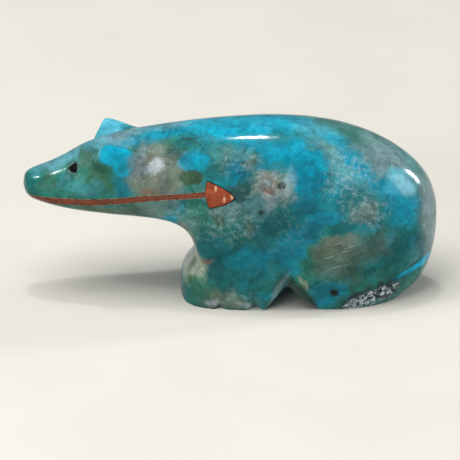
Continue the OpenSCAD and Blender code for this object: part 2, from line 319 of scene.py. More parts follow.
def set_points(mesh, points):
    mesh.vertices.foreach_set("co", (points * MM).astype(np.float32).ravel())
    mesh.update()


def get_normals(mesh):
    flat = np.empty(len(mesh.vertices) * 3, np.float32)
    mesh.vertices.foreach_get("normal", flat)
    return flat.reshape(-1, 3).astype(float)


def neighbour_mean(points, edges, degree):
    total = np.zeros_like(points)
    for axis in range(points.shape[1]):
        total[:, axis] = np.bincount(edges[:, 0], points[edges[:, 1], axis], len(points))
        total[:, axis] += np.bincount(edges[:, 1], points[edges[:, 0], axis], len(points))
    return total / degree[:, None]


def soften(mesh, rounds, amount):
    """Rounds of smoothing, by an amount given for each point."""
    edges = np.empty(len(mesh.edges) * 2, np.int32)
    mesh.edges.foreach_get("vertices", edges)
    edges = edges.reshape(-1, 2)
    points = get_points(mesh)
    degree = np.bincount(edges.ravel(), minlength=len(points)).astype(float)
    share = np.broadcast_to(np.asarray(amount, float), len(points))[:, None]
    for _ in range(rounds):
        points += share * (neighbour_mean(points, edges, degree) - points)
    set_points(mesh, points)


def hills(points, size, seed):
    """Smooth noise from -1 to 1 with hills of about this size in millimetres, the same on every run."""
    p = points / size
    cell = np.floor(p).astype(np.int64)
    f = p - cell
    f = f * f * f * (f * (f * 6 - 15) + 10)
    total = np.zeros(len(points))
    for corner in np.ndindex(2, 2, 2):
        c = cell + corner
        h = (c[:, 0] * 73856093) ^ (c[:, 1] * 19349663) ^ (c[:, 2] * 83492791) ^ (seed * 2654435761)
        h = (h ^ (h >> 13)) * 1274126177 & 0xFFFFFFFF
        h = (h ^ (h >> 16)) & 0xFFFF
        weight = np.prod(np.where(corner, f, 1 - f), 1)
        total += weight * (h / 32767.5 - 1)
    return total


def layered(points, layers):
    """Sum of layers of hills: height, size, seed."""
    return sum(height * hills(points, size, seed) for height, size, seed in layers)


def near(points, centre, radii):
    """1 at the centre of an ellipsoid, falling smoothly to 0 at its edge."""
    inside = np.clip(1 - np.linalg.norm((points - centre) / radii, axis=1), 0, 1)
    return inside**2 * (3 - 2 * inside)


def near_both(points, centre, radii):
    """The same for a place on both sides of the bear."""
    return np.maximum(*(near(points, np.array(centre) * (1, side, 1), radii) for side in (LEFT, RIGHT)))


# ---------------------------------------------------------------- stone body

def arch_outline(shift=0, rise=0):
    peak = np.array([ARCH_PEAK + shift, ARCH_H - ARCH_R + rise])
    arc = [math.radians(a) for a in range(140, 39, -20)]
    rear = ARCH_FRONT + ARCH_W
    outline = [(ARCH_FRONT - 1, -1), (ARCH_FRONT, 0)]
    outline += [tuple(peak + ARCH_R * np.array([math.cos(a), math.sin(a)])) for a in arc]
    return outline + [(rear, 0), (rear + 1, -1)]


def prism_y(name, near_outline, near_y, far_outline, far_y):
    ends = ((near_outline, near_y), (far_outline, far_y))
    return loft(name, [[(x, y, z) for x, z in outline] for outline, y in ends])


def v_groove(name, at, spread, lean, heading):
    """V groove with its bottom edge through a point on the base, open towards heading, leaning that way."""
    reach, height = 3.0, 12.0
    run = reach * math.tan(math.radians(spread))
    plan = np.array([(0, 0), (-run, -reach), (run, -reach)])
    lean, heading = math.radians(lean), math.radians(heading)
    rings = []
    for z in (-reach, height):
        x, y = plan[:, 0], plan[:, 1] * math.cos(lean) - z * math.sin(lean)
        up = plan[:, 1] * math.sin(lean) + z * math.cos(lean)
        turned_x = x * math.cos(heading) - y * math.sin(heading)
        turned_y = x * math.sin(heading) + y * math.cos(heading)
        rings.append(np.stack([turned_x, turned_y, up], 1) + at)
    return loft(name, rings)


def carve_stone():
    """The whole bear before any inlay is cut in, with soft worn edges."""
    stone = loft("stone", trunk_rings())
    shells = [loft("paws", paw_rings()), loft("ear_l", ear_rings(LEFT)), loft("ear_r", ear_rings(RIGHT))]
    combine(stone, shells, "UNION")
    wide = 60
    slab = [(-wide, -wide), (-wide, 0), (wide, 0), (wide, -wide)]
    cuts = [
        prism_y("slab", slab, -wide, slab, wide),
        prism_y("arch", arch_outline(), -wide, arch_outline(), wide),
    ]
    inner = BASE_HALF_W - FLARE_DEPTH
    for side in (LEFT, RIGHT):
        flared = arch_outline(FLARE_SHIFT, FLARE_RISE)
        cuts.append(prism_y("flare", arch_outline(), side * inner, flared, side * (inner + FLARE_RUN)))
        heading = 0 if side == LEFT else 180
        for x, depth in TOES:
            at = (x, side * (BASE_HALF_W - depth), 0)
            cuts.append(v_groove("toe", at, TOE_SPREAD, TOE_LEAN, heading))
    for x, depth, lean in FOOT_GROOVES:
        cuts.append(v_groove("foot", (x + depth, 0, 0), FOOT_SPREAD, lean, -90 if depth > 0 else 90))
    combine(stone, cuts, "DIFFERENCE")
    apply_modifier(stone, "REMESH", mode="VOXEL", voxel_size=VOXEL * MM)
    return stone


def wear(mesh):
    """Polished-over carving marks, blended ears, chips and pits."""
    points = get_points(mesh)
    roots = np.max([near_both(points, *root) for root in EAR_ROOTS], axis=0)
    soften(mesh, ROUNDS_ALL, SMOOTHING)
    soften(mesh, ROUNDS_ROOTS, SMOOTHING * np.sqrt(roots))
    tips = near_both(points, *EAR_TIP)
    soften(mesh, ROUNDS_TIPS, SMOOTHING * np.sqrt(tips))
    points, normals = get_points(mesh), get_normals(mesh)
    lift = layered(points, UNEVEN) + EAR_TIP_LIFT * tips
    grit = layered(points, GRIT)
    for centre, radii, depth, rough in CHIPS:
        lift -= near(points, centre, radii) * (depth + rough * grit)
    sole = (points[:, 2] < SOLE_Z) & (normals[:, 2] < SOLE_FACING)
    points += normals * lift[:, None]
    points[:, 2] = np.where(sole, 0, np.maximum(points[:, 2], 0))
    set_points(mesh, points)


def line_prism(name, side, start, stop, grow, deep):
    """Closed prism along the heartline from outside the flank to a depth under it."""
    rows = spline_rows(LINE, 40)
    spacing, proud, flank = 0.35, 3, side * 9
    rings = []
    before, end = LINE[-2:]
    for x in np.linspace(start, stop, max(4, int((stop - start) / spacing))):
        y, z, half = (np.interp(x, rows[:, 0], rows[:, i]) for i in (1, 2, 3))
        if x > end[0]:
            y, z = (end[i] + (x - end[0]) * (end[i] - before[i]) / (end[0] - before[0]) for i in (1, 2))
        at = np.array([[x, flank, 0.0]])
        wander = [SAW_WANDER * hills(at, size, seed)[0] for size, seed in SAW_WAVES]
        low, high = z - half - grow - wander[0], z + half + grow + wander[1]
        outer, inner = side * (y + proud), side * (y - INLAY_DEPTH - deep)
        rings.append([(x, outer, low), (x, outer, high), (x, inner, high), (x, inner, low)])
    return loft(name, rings)


class Seat:
    """A place on the stone where a plug is let in: its axes, and the stone's surface under it."""

    def __init__(self, tree, origin, across, up, out):
        self.tree = tree
        self.origin, self.across, self.up, self.out = (np.array(v, float) for v in (origin, across, up, out))
        self.level = self.surface([(0, 0)])[0]

    def surface(self, flat):
        """Points of the stone under places across and up from the origin."""
        found = []
        for a, b in flat:
            start = self.origin + a * self.across + b * self.up + 30 * self.out
            hit = self.tree.ray_cast(Vector(start * MM), Vector(-self.out))
            found.append(np.array(hit[0]) / MM)
        return found

    def plug(self, name, outline, crown, depth):
        """Closed solid with a flat back and a crown: rings of share of the outline, height over the stone."""
        outline = np.array(outline)
        middle = outline.mean(0)
        layers = [[self.level + a * self.across + b * self.up - depth * self.out for a, b in outline]]
        for share, height in crown:
            flat = middle + (outline - middle) * share
            layers.append([p + height * self.out for p in self.surface(flat)])
        top = self.surface([middle])[0] + crown[-1][1] * self.out
        n, last = len(outline), len(crown) * len(outline)
        faces = band_faces(n, len(crown)) + [range(n)]
        faces += [(last + j, last + (j + 1) % n, last + n) for j in range(n)]
        return mesh_object(name, np.vstack(layers + [[top]]), faces)


def rounded(corners, count, tightness):
    """A closed outline of this many points, with softened corners."""
    corners = np.array(corners, float)
    outline = []
    for i in range(len(corners)):
        before, here, after = corners[i - 1], corners[i], corners[(i + 1) % len(corners)]
        start = here + (before - here) * (1 - tightness)
        end = here + (after - here) * (1 - tightness)
        for t in np.linspace(0, 1, 4):
            outline.append((1 - t) ** 2 * start + 2 * t * (1 - t) * here + t * t * end)
    outline = np.array(outline + [outline[0]])
    run = np.concatenate([[0], np.cumsum(np.linalg.norm(np.diff(outline, axis=0), axis=1))])
    at = np.linspace(0, run[-1], count, endpoint=False)
    return np.stack([np.interp(at, run, outline[:, i]) for i in (0, 1)], 1)


def let_in_arrowhead(tree, side, word):
    """The arrowhead, its cement bed, and the solid that cuts the pocket for both."""
    seat = Seat(tree, (ARROW_X, 0, ARROW_Z), (1, 0, 0), (0, 0, 1), (0, side, 0))
    outline = rounded(np.array(ARROW) - (ARROW_X, ARROW_Z), 72, ARROW_TIGHTNESS)
    pocket_outline = outline * POCKET_SCALE + POCKET_OFFSET
    arrowhead = seat.plug(f"look_{word}_arrowhead", outline, ARROW_CROWN, ARROW_DEPTH)
    bed = seat.plug(f"look_{word}_arrowhead_glue", pocket_outline, ARROW_BED_CROWN, POCKET_DEPTH)
    combine(bed, [arrowhead], "DIFFERENCE", keep=True)
    return arrowhead, bed, seat.plug("cut", pocket_outline, CUTTER_CROWN, POCKET_DEPTH)


def let_in_heartline(stone, sunk, pocket, side, word):
    """The slivers of the line, the cement round them, and the solid that cuts their channel."""
    slivers = []
    for part, start, stop in zip(("front", "middle", "rear"), JOINTS, JOINTS[1:]):
        name = f"look_{word}_heartline_{part}"
        slivers.append(line_prism(name, side, start + JOINT_GAP, stop - JOINT_GAP, 0, 0))
    start, stop = JOINTS[0] - CHANNEL_RUN_OUT, JOINTS[-1] + CHANNEL_RUN_OUT
    channel = line_prism("cut", side, start, stop, CHANNEL_GROW, GLUE)
    cement = copy_of(channel, f"look_{word}_heartline_glue")
    combine(cement, [sunk], "INTERSECT", keep=True)
    combine(cement, [*slivers, pocket], "DIFFERENCE", keep=True)
    for sliver in slivers:
        combine(sliver, [stone], "INTERSECT", keep=True)
        combine(sliver, [pocket], "DIFFERENCE", keep=True)
    return slivers, cement, channel


def let_in_eye(tree, side, word):
    """The bead, the resin round it, and the solid that cuts the socket."""
    tilt, turned = math.radians(EYE_TILT), math.radians(EYE_TURN)
    out = (-math.sin(tilt) * math.sin(turned), side * math.sin(tilt) * math.cos(turned), math.cos(tilt))
    across = (math.cos(turned), side * math.sin(turned), 0)
    up = np.cross(across, out)
    up = up if up[2] > 0 else -up
    seat = Seat(tree, (EYE[0], -side * EYE[1], EYE[2]), across, up, out)
    circle = np.stack(turn(64), 1) * SOCKET_D / 2
    bead_outline = rounded(BEAD, 60, BEAD_TIGHTNESS)
    bead = seat.plug(f"look_{word}_eye", bead_outline, BEAD_CROWN, BEAD_DEPTH)
    resin = seat.plug(f"look_{word}_eye_glue", circle, RESIN_CROWN, RESIN_DEPTH)
    combine(resin, [bead], "DIFFERENCE", keep=True)
    return bead, resin, seat.plug("cut", circle, CUTTER_CROWN, RESIN_DEPTH)


def let_in(stone):
    """Cuts the inlays and eyes into the stone; returns each new piece under the name of its CAD node."""
    bm = bmesh.new()
    bm.from_mesh(stone.data)
    tree = BVHTree.FromBMesh(bm)
    bm.free()
    sunk = copy_of(stone, "sunk")
    set_points(sunk.data, get_points(sunk.data) - CEMENT_SINK * get_normals(sunk.data))
    pieces, cutters = {}, []
    for side, word in ((LEFT, "left"), (RIGHT, "right")):
        arrowhead, bed, pocket = let_in_arrowhead(tree, side, word)
        slivers, cement, channel = let_in_heartline(stone, sunk, pocket, side, word)
        bead, resin, socket = let_in_eye(tree, side, word)
        made = (arrowhead, bed, cement, bead, resin, *slivers)
        pieces.update({piece.name.removeprefix("look_"): piece for piece in made})
        cutters += [channel, pocket, socket]
    combine(stone, cutters, "DIFFERENCE")
    bpy.data.objects.remove(sunk)
    return pieces


def weld(mesh):
    """Triangles only, without the hair-thin ones that cutting leaves."""
    bm = bmesh.new()
    bm.from_mesh(mesh)
    bmesh.ops.triangulate(bm, faces=bm.faces)
    bmesh.ops.remove_doubles(bm, verts=bm.verts, dist=WELD * MM)
    bmesh.ops.dissolve_degenerate(bm, edges=bm.edges, dist=WELD * MM)
    bm.to_mesh(mesh)
    bm.free()


stone = carve_stone()
wear(stone.data)
pieces = let_in(stone)
stone.name = "look_stone_body"
pieces["stone_body"] = stone
for piece in pieces.values():
    weld(piece.data)

# ---------------------------------------------------------------- materials

def colour(*shown):
    """Linear colour from the 0 to 255 values a screen shows."""
    linear = [c / 255 / 12.92 if c <= 10 else ((c / 255 + 0.055) / 1.055) ** 2.4 for c in shown]
    return linear + [1.0]


class Paint:
    """A node material, put together from sockets and numbers.

    Its mm socket is the place on the bear in millimetres.
    """

    def __init__(self, name, **shader):
        self.material = bpy.data.materials.new(name)
        self.material.use_nodes = True
        self.tree = self.material.node_tree
        self.shader = self.tree.nodes["Principled BSDF"]
        for key, value in shader.items():
            self.set(self.shader.inputs[key.replace("_", " ")], value)
        place = self.tree.nodes.new("ShaderNodeTexCoord").outputs["Object"]
        self.mm = self.vector("SCALE", place, Scale=1 / MM)

    def set(self, socket, value):
        if isinstance(value, bpy.types.NodeSocket):
            self.tree.links.new(value, socket)
        else:
            socket.default_value = value

    def node(self, kind, settings, inputs):
        made = self.tree.nodes.new(kind)
        for key, value in settings.items():
            setattr(made, key, value)
        for key, value in inputs.items():
            self.set(made.inputs[key], value)
        return made

    def vector(self, operation, *inputs, **named):
        values = dict(enumerate(inputs))
        values.update(named)
        made = self.node("ShaderNodeVectorMath", {"operation": operation}, values)
        return made.outputs["Value" if operation == "LENGTH" else "Vector"]

    def math(self, operation, *inputs):
        return self.node("ShaderNodeMath", {"operation": operation}, dict(enumerate(inputs))).outputs[0]

    def noise(self, at, size, detail=2, rough=0.5, swirl=0.0, out="Fac"):
        """Noise with features of about this size in millimetres."""
        values = {"Vector": at, "Scale": 1 / size, "Detail": detail}
        values.update({"Roughness": rough, "Distortion": swirl})
        return self.node("ShaderNodeTexNoise", {}, values).outputs[out]

    def shifted(self, at, size, reach, detail=2):
        """The place moved about by noise, so that what is drawn there gets a natural outline."""
        drift = self.vector("SUBTRACT", self.noise(at, size, detail, out="Color"), (0.5, 0.5, 0.5))
        return self.vector("ADD", at, self.vector("SCALE", drift, Scale=reach))

    def step(self, value, start, stop, low=0.0, high=1.0):
        """A smooth step from low to high as the value goes from start to stop."""
        values = {"Value": value, "From Min": start, "From Max": stop, "To Min": low, "To Max": high}
        return self.node("ShaderNodeMapRange", {"interpolation_type": "SMOOTHSTEP"}, values).outputs[0]

    def mix(self, share, first, second, mode="MIX"):
        """The first colour with this share of the second one over it."""
        settings = {"data_type": "RGBA", "blend_type": mode}
        made = self.node("ShaderNodeMix", settings, {0: share, 6: first, 7: second})
        return made.outputs[2]

    def spot(self, at, centre, radii, rise, edge, share):
        """Share inside an ellipsoid, 0 outside, with a soft edge.

        The ellipsoid is turned up towards the rump by rise, in degrees.
        """
        place, crossed = at
        cos, sin = math.cos(math.radians(rise)), math.sin(math.radians(rise))
        (x, y, z), (a, b, c) = centre, radii
        offset = (-(x * cos + z * sin) / a, -y / b, -(z * cos - x * sin) / c)
        local = self.vector("MULTIPLY_ADD", place, (cos / a, 1 / b, cos / c), offset)
        if rise:
            local = self.vector("MULTIPLY_ADD", crossed, (-sin / a, 0, -sin / c), local)
        return self.step(self.vector("LENGTH", local), 1 + edge, 1 - edge, 0, share)

    def places(self, at):
        """A place, and the same crossed with y, which is what spot() needs to turn its ellipsoids."""
        return at, self.vector("CROSS_PRODUCT", at, (0, 1, 0))

    def bump(self, height, strength, distance):
        """Bump on top of the bumps that are there, for a height in this many millimetres."""
        values = {"Height": height, "Strength": strength, "Distance": distance * MM}
        previous = self.shader.inputs["Normal"]
        if previous.is_linked:
            values["Normal"] = previous.links[0].from_socket
        self.set(previous, self.node("ShaderNodeBump", {}, values).outputs[0])


# Overall brightness of the stone's colours.
GAIN = 0.93
TINTS = {
    "sky": (0, 162, 194), "azure": (0, 138, 164), "lagoon": (4, 108, 128), "teal": (22, 114, 118),
    "deep": (8, 86, 90), "sea": (38, 112, 96), "frost": (92, 138, 134), "pale": (152, 178, 184),
    "cyan": (78, 172, 194), "haze": (92, 150, 164), "fog": (112, 138, 142), "olive": (90, 108, 90),
    "moss": (54, 82, 58), "night": (18, 28, 20), "slate": (34, 54, 52), "brown": (122, 84, 60),
    "mushroom": (122, 120, 110), "white": (196, 204, 210), "sage": (142, 158, 136),
    "fern": (50, 96, 62), "bark": (36, 48, 34), "crumb": (206, 218, 230),
}
# Colour areas of the stone, with the painted highlight, shade and reflection noted below, painted over each
# other in this order: tint, centre, radii, rise, edge, share.
# The broad ones of the shown side come first, then those of each part of the bear.
AREAS = [
    ("sea", (-28, -3, 20.5), (8, 7, 5), 0, 0.5, 0.9),
    ("olive", (-19, -6, 16.6), (9, 5, 1.7), 6, 0.45, 0.8),
    ("mushroom", (-12.3, -6.5, 23.6), (4.6, 4.5, 5.4), 0, 0.4, 0.8),
    ("deep", (-1, -10, 9), (6, 6, 6.5), 0, 0.6, 0.8),
    ("teal", (14, -10, 20), (12, 5, 7), 0, 0.6, 0.8),
    ("deep", (8, -10.9, 17), (5, 4, 4.2), 0, 0.6, 0.9),
    ("frost", (24, -3, 27), (12, 9, 5.5), -28, 0.4, 0.85),
    ("fog", (26, -4.3, 26), (5.4, 4, 2.8), -25, 0.5, 0.85),
    ("sea", (19.5, -1.4, 29.8), (5, 3, 1.4), -14, 0.6, 0.6),
    ("fog", (34, -3, 15), (2.6, 6, 9), 0, 0.5, 0.9),
    ("cyan", (19.4, -7.4, 25), (3.4, 4, 4), -20, 0.6, 0.25),
    ("deep", (27, -8, 9.4), (7, 5, 5.4), 10, 0.6, 0.5),
    ("sky", (1.5, -1.2, 30.8), (12.5, 4.3, 2.2), 0, 0.4, 0.75),
    # head
    # painted reflection of the sky: a lighter blue-grey band along the upper plane of the snout
    ("haze", (-29.3, -0.2, 24), (7, 2.4, 1.6), 20, 0.6, 0.75),
    ("teal", (-33.8, -1.4, 20.6), (1.6, 3, 1.9), 0, 0.6, 0.6),
    ("haze", (-19, -0.3, 28.4), (5.5, 3.2, 2), 5, 0.5, 0.85),
    ("fog", (-18, 0.2, 28.6), (3, 2.4, 1.4), 5, 0.5, 0.6),
    ("cyan", (-20.2, 5, 28.5), (3.2, 2.6, 3), 0, 0.4, 0.9),
    ("fern", (-21.8, -6, 23.2), (1.7, 3, 3.2), 18, 0.6, 0.7),
    ("fern", (-24.3, -3.6, 25), (1.5, 3, 1.5), 10, 0.5, 0.65),
    ("lagoon", (-18.2, -6.5, 21.5), (1.7, 3, 3), 0, 0.6, 0.8),
    ("sky", (-19.2, -6.3, 27.4), (2.9, 3.2, 2), 0, 0.25, 1),
    ("sky", (-17.9, -6.9, 25.3), (1.8, 3, 2.2), -28, 0.25, 1),
    ("azure", (-12.5, -2, 29.1), (6, 1.7, 0.9), 16, 0.5, 0.9),
    ("haze", (-12, 0.6, 29.9), (5.5, 1.8, 1), 8, 0.5, 0.8),
    ("moss", (-30.8, -3.5, 20.8), (1.6, 3, 1.2), 25, 0.3, 0.5),
    ("cyan", (-25.4, -5, 20.7), (1.3, 3, 1.2), 20, 0.3, 0.24),
    ("cyan", (-27.9, -4.2, 21.3), (1.3, 3, 1.2), -30, 0.3, 0.22),
    ("cyan", (-23, -5.4, 21), (1.2, 3, 1.5), 0, 0.6, 0.25),
    # neck and shoulder
    ("fog", (-15.4, -5.8, 26), (1.2, 3, 2.2), 0, 0.6, 0.75),
    ("olive", (-10.2, -7, 24.2), (1.1, 3, 3.2), 0, 0.5, 0.8),
    ("olive", (-14.3, -6.8, 21.8), (1.3, 3, 1.6), 0, 0.5, 0.7),
    ("brown", (-13.6, -6.9, 20.9), (1.4, 3, 0.7), 0, 0.6, 0.5),
    ("white", (-12.5, -6.3, 25.2), (1.1, 3, 1.5), -45, 0.3, 0.7),
    ("frost", (-11, -7.8, 18.5), (4.5, 3, 1.3), -6, 0.6, 0.6),
    ("frost", (-6.6, -8.4, 15.4), (1.4, 3, 2), 30, 0.6, 0.6),
    ("mushroom", (-7.3, -7.6, 13.7), (0.9, 4, 2.6), 25, 0.6, 0.6),
    ("azure", (-6, -7.1, 26.5), (2.7, 3, 1.7), 5, 0.2, 0.85),
    ("moss", (-6.6, -8, 24), (2.2, 3, 1.3), 0, 0.2, 0.95),
    ("lagoon", (-5, -5.2, 29), (4, 2.4, 1.2), 6, 0.6, 0.5),
    ("azure", (6.5, -5, 28.9), (6, 2.6, 1.5), -6, 0.5, 0.8),
    ("frost", (0.3, -7.4, 27.7), (3, 2.6, 1.5), 0, 0.6, 0.6),
    ("lagoon", (6.4, -8, 26.6), (2.6, 2.6, 1.8), -10, 0.5, 0.7),
    ("azure", (11, -6.5, 27.9), (5.2, 3, 1.8), -15, 0.35, 1),
    ("azure", (13, -8.6, 25), (3.2, 3, 3.8), -15, 0.35, 1),
    ("lagoon", (13, -9.8, 21.4), (2.7, 3, 2.8), 0, 0.6, 0.9),
    ("mushroom", (6.7, -9.7, 22.8), (3.3, 3, 2.8), 10, 0.4, 0.85),
    ("fog", (6, -9.9, 20.8), (2.8, 3, 1.3), 20, 0.6, 0.4),
    ("pale", (10, -9.3, 24.1), (0.9, 2, 2), -12, 0.6, 0.4),
    ("brown", (6.5, -9.9, 22.3), (0.9, 1.5, 0.7), 20, 0.5, 0.7),
    ("night", (8.7, -9.6, 23.3), (0.75, 1.5, 0.55), 20, 0.3, 0.9),
    ("night", (5.2, -10.5, 18.7), (0.4, 1, 0.4), 0, 0.5, 0.8),
    ("bark", (1.6, -9.5, 22.5), (1.5, 2.5, 1.9), 0, 0.5, 0.7),
    ("lagoon", (1.4, -8.4, 25.7), (1.9, 2.5, 2), 0, 0.3, 0.9),
    ("olive", (3.6, -8, 26.8), (1.2, 2.5, 1.3), 0, 0.6, 0.6),
    ("fog", (-0.4, -9.8, 19), (3.2, 2.5, 1.7), 15, 0.6, 0.5),
    ("moss", (-1.9, -9.8, 17.3), (1.2, 2.5, 1.2), 0, 0.5, 0.7),
    ("moss", (2.8, -10.5, 16.2), (1.2, 2, 1.3), 0, 0.6, 0.8),
    # forelegs
    ("fern", (-5, -8, 2.8), (4, 6, 3), 0, 0.6, 0.45),
    ("sage", (-6.4, -4.6, 6.2), (2.9, 6, 2.6), 0, 0.4, 0.95),
    ("fern", (-6.2, -7, 3.6), (1.4, 3, 1.1), -10, 0.5, 0.8),
    ("olive", (-0.8, -9.6, 1.7), (4.2, 4, 2), 0, 0.4, 0.85),
    ("brown", (-4.2, -8.2, 8.4), (0.6, 2, 1.8), -50, 0.5, 0.6),
    ("white", (-2.9, -9.1, 1.2), (1.3, 1.5, 0.6), 10, 0.6, 0.45),
    ("white", (2.6, -9.7, 0.9), (1.4, 1.5, 0.6), -12, 0.6, 0.45),
    ("lagoon", (6, -10.5, 9.6), (3, 3, 3.2), 10, 0.7, 0.85),
    ("azure", (6.2, -10.5, 10), (1.7, 2.4, 1.7), 0, 0.75, 0.6),
    ("sea", (8, -10.7, 9), (1.6, 2.5, 1.7), -40, 0.6, 0.7),
    # painted highlight along the edge where the flank turns into the bevel of the arch's front mouth
    ("pale", (8.2, -10.2, 4), (0.6, 2, 3.6), -27, 0.6, 0.55),
    ("teal", (4.8, -10, 3.4), (2.4, 3, 2.6), 0, 0.5, 0.8),
    # belly
    ("azure", (16.2, -10.8, 18), (2.7, 3, 1.7), 12, 0.35, 0.9),
    ("lagoon", (12.3, -11, 14.8), (4.6, 3, 1.9), 38, 0.5, 0.9),
    ("lagoon", (9.8, -11, 10.6), (2.1, 3, 2.8), 0, 0.6, 0.9),
    ("mushroom", (18.2, -10.8, 12.6), (3.6, 3, 2), 10, 0.5, 0.7),
    ("olive", (18.2, -10.7, 10.4), (4, 3, 3.4), 25, 0.5, 0.8),
    ("olive", (24.5, -9.5, 12.2), (3, 3, 2.2), 15, 0.6, 0.55),
    ("moss", (20.4, -10.1, 6.5), (2, 3, 2.3), 0, 0.6, 0.75),
    ("lagoon", (16.4, -10, 3.2), (2.8, 3, 2.4), 0, 0.5, 0.85),
    ("sage", (12.4, -9.9, 5.6), (0.45, 2, 1.4), 30, 0.5, 0.8),
    # painted shade: a dark band on the hind leg's face of the arch, which faces down
    ("bark", (12.3, -8, 2.9), (1.3, 6, 4.4), 36, 0.4, 0.85),
    # rump
    ("cyan", (14.5, -2.6, 30.2), (4, 1.8, 1), -12, 0.6, 0.55),
    ("azure", (18, -4.2, 29), (3, 1.6, 1), -30, 0.6, 0.75),
    ("azure", (21, -6.5, 26.6), (2.9, 1.9, 1.1), -48, 0.55, 0.9),
    ("azure", (23.4, -7.8, 23.6), (2.6, 2, 1.2), -50, 0.55, 0.9),
    ("azure", (25.6, -7.6, 21.9), (3, 2.5, 1.4), -20, 0.5, 0.8),
    ("cyan", (28.8, -5.9, 21.8), (2.8, 2.5, 1.8), -20, 0.6, 0.7),
    ("sky", (29.2, -6.8, 18), (3.2, 3, 3.2), 0, 0.6, 0.8),
    ("azure", (18, -10, 21.2), (1.5, 2.5, 1.8), 0, 0.6, 0.5),
    ("mushroom", (22.8, -9.6, 18.6), (1.8, 2.5, 1.7), 0, 0.6, 0.5),
    ("slate", (24, -8.4, 2.1), (5.6, 4, 1.5), 17, 0.35, 0.95),
    ("night", (17.6, -10, 3.6), (0.8, 2, 0.75), 0, 0.6, 1),
    ("sky", (31.2, -5.4, 6.2), (3.4, 4, 0.55), 18, 0.14, 1),
    ("sky", (33, -3.4, 6.9), (1.8, 3.4, 0.75), 22, 0.14, 1),
    # far flank and back
    ("azure", (10, 10, 22), (7, 4, 2.6), -24, 0.5, 0.9),
    ("mushroom", (-2, 9.5, 19), (4.4, 4, 3.6), 0, 0.5, 0.8),
    ("olive", (17, 10.5, 9), (5, 4, 3.6), -15, 0.5, 0.8),
    ("azure", (22, 7, 24), (4.5, 3, 1.5), -42, 0.5, 0.9),
    ("deep", (2, 10.5, 8), (6, 4, 5), 0, 0.6, 0.8),
    ("sea", (-26, 4, 20), (6, 4, 4), 0, 0.6, 0.8),
    ("azure", (-14, 6, 25), (4, 3, 2.5), 12, 0.5, 0.8),
]
# Where the stone is full of pale flecks: centre, radii, share.
FLECKED = [
    ((20, -7.8, 24), (4, 4, 4.6), 0.95),
    ((23.3, -9.4, 18.4), (3.4, 3, 3), 1),
    ((6.6, -9.6, 22.8), (3.6, 3, 3.2), 1),
    ((0, -10, 16.8), (5, 3, 3.6), 0.7),
    ((-25.5, -4.6, 21.6), (4.5, 3, 2.4), 0.3),
    ((10, -11, 16), (3, 3, 3.4), 0.3),
    ((1.5, -7.6, 27.2), (4, 3, 1.8), 0.7),
    ((-13.4, -6.3, 25.6), (3.4, 3, 3.6), 0.55),
    ((-9, -8, 17.8), (4.4, 3, 2), 0.6),
    ((-7, -7.8, 14), (1.6, 3, 2.6), 0.8),
    ((-6, -4, 6), (3, 5, 3), 0.5),
    ((1, -9.5, 2), (4, 3, 2), 0.5),
    ((6, 9.8, 20), (6, 3, 5), 0.8),
    ((22, 8, 19), (4, 3, 5), 0.8),
]
# Where thin dark cracks show: centre, radii, share.
CRACKED = [
    ((-9, -3.5, 28.6), (7, 4, 3), 0.85),
    ((2, -7.6, 26.5), (8, 3, 3.4), 0.6),
    ((-5, -8.5, 18), (6, 3, 4), 0.6),
    ((16, -8.5, 24), (6, 4, 4), 0.35),
]
# Broken spot at the hind foot: centre, radii, rise.
ROUGH_SPOT = ((24.2, -8.4, 1.9), (5.4, 3.5, 1.5), 17)
# Less polish in the hollow between eyes and ears: centre, radii, rise, edge, added roughness.
DULL_BROW = ((-23.8, 0, 25.6), (2.6, 6, 2.2), 0, 0.5, 0.3)
# Polishing scratches on the belly: centre, radii, rise, edge, share. They run up towards the rump.
SCRATCHED = ((18.6, -10.6, 10.6), (3.6, 3, 2.6), 20, 0.6, 1.0)
SCRATCH_SLOPE, SCRATCH_SCALE = 16, (3.2, 4, 0.22)


def tint(name):
    return colour(*TINTS[name])


def shares(p, at, spots):
    """The largest share of any of the spots."""
    total = 0.0
    for centre, radii, share in spots:
        total = p.math("MAXIMUM", p.spot(at, centre, radii, 0, 0.6, share), total)
    return total


def broad_tones(p, warped):
    ground = p.mix(p.step(p.noise(warped, 9, 2), 0.42, 0.6), tint("teal"), tint("sea"))
    ground = p.mix(p.step(p.noise(warped, 6.5, 3, swirl=0.4), 0.54, 0.68), ground, tint("azure"))
    ground = p.mix(p.step(p.noise(warped, 7.5, 3), 0.44, 0.3), ground, tint("frost"))
    return p.mix(p.step(p.noise(warped, 4.5, 3), 0.42, 0.28), ground, tint("deep"))


def colour_areas(p, ground, soft, crisp, plain):
    """The areas, with outlines that are drawn the more exactly the smaller and sharper an area is."""
    for name, centre, radii, rise, edge, share in AREAS:
        thin, wide = min(radii[0], radii[2]), max(radii[0], radii[2])
        at = plain if edge < 0.15 or wide <= 1 else crisp if edge < 0.32 or thin < 1.1 else soft
        ground = p.mix(p.spot(at, centre, radii, rise, edge, share), ground, tint(name))
    return ground


def clouds(p, ground, soft, crisp):
    """Clouds, dark wisps and fine mottling all over."""
    cloud = p.step(p.noise(soft[0], 3.2, 3, 0.5), 0.3, 0.7)
    cloud = p.mix(cloud, (0.64, 0.68, 0.68, 1), (1.26, 1.2, 1.2, 1))
    ground = p.mix(1.0, ground, cloud, "MULTIPLY")
    wisp = p.step(p.noise(crisp[0], 1.3, 6, 0.55, 0.4), 0.54, 0.74, 0, 0.26)
    ground = p.mix(wisp, ground, tint("deep"))
    mottle = p.step(p.noise(crisp[0], 0.75, 6, 0.66), 0.34, 0.66)
    mottle = p.mix(mottle, (0.8, 0.83, 0.82, 1), (1.18, 1.14, 1.15, 1))
    return p.mix(1.0, ground, mottle, "MULTIPLY")


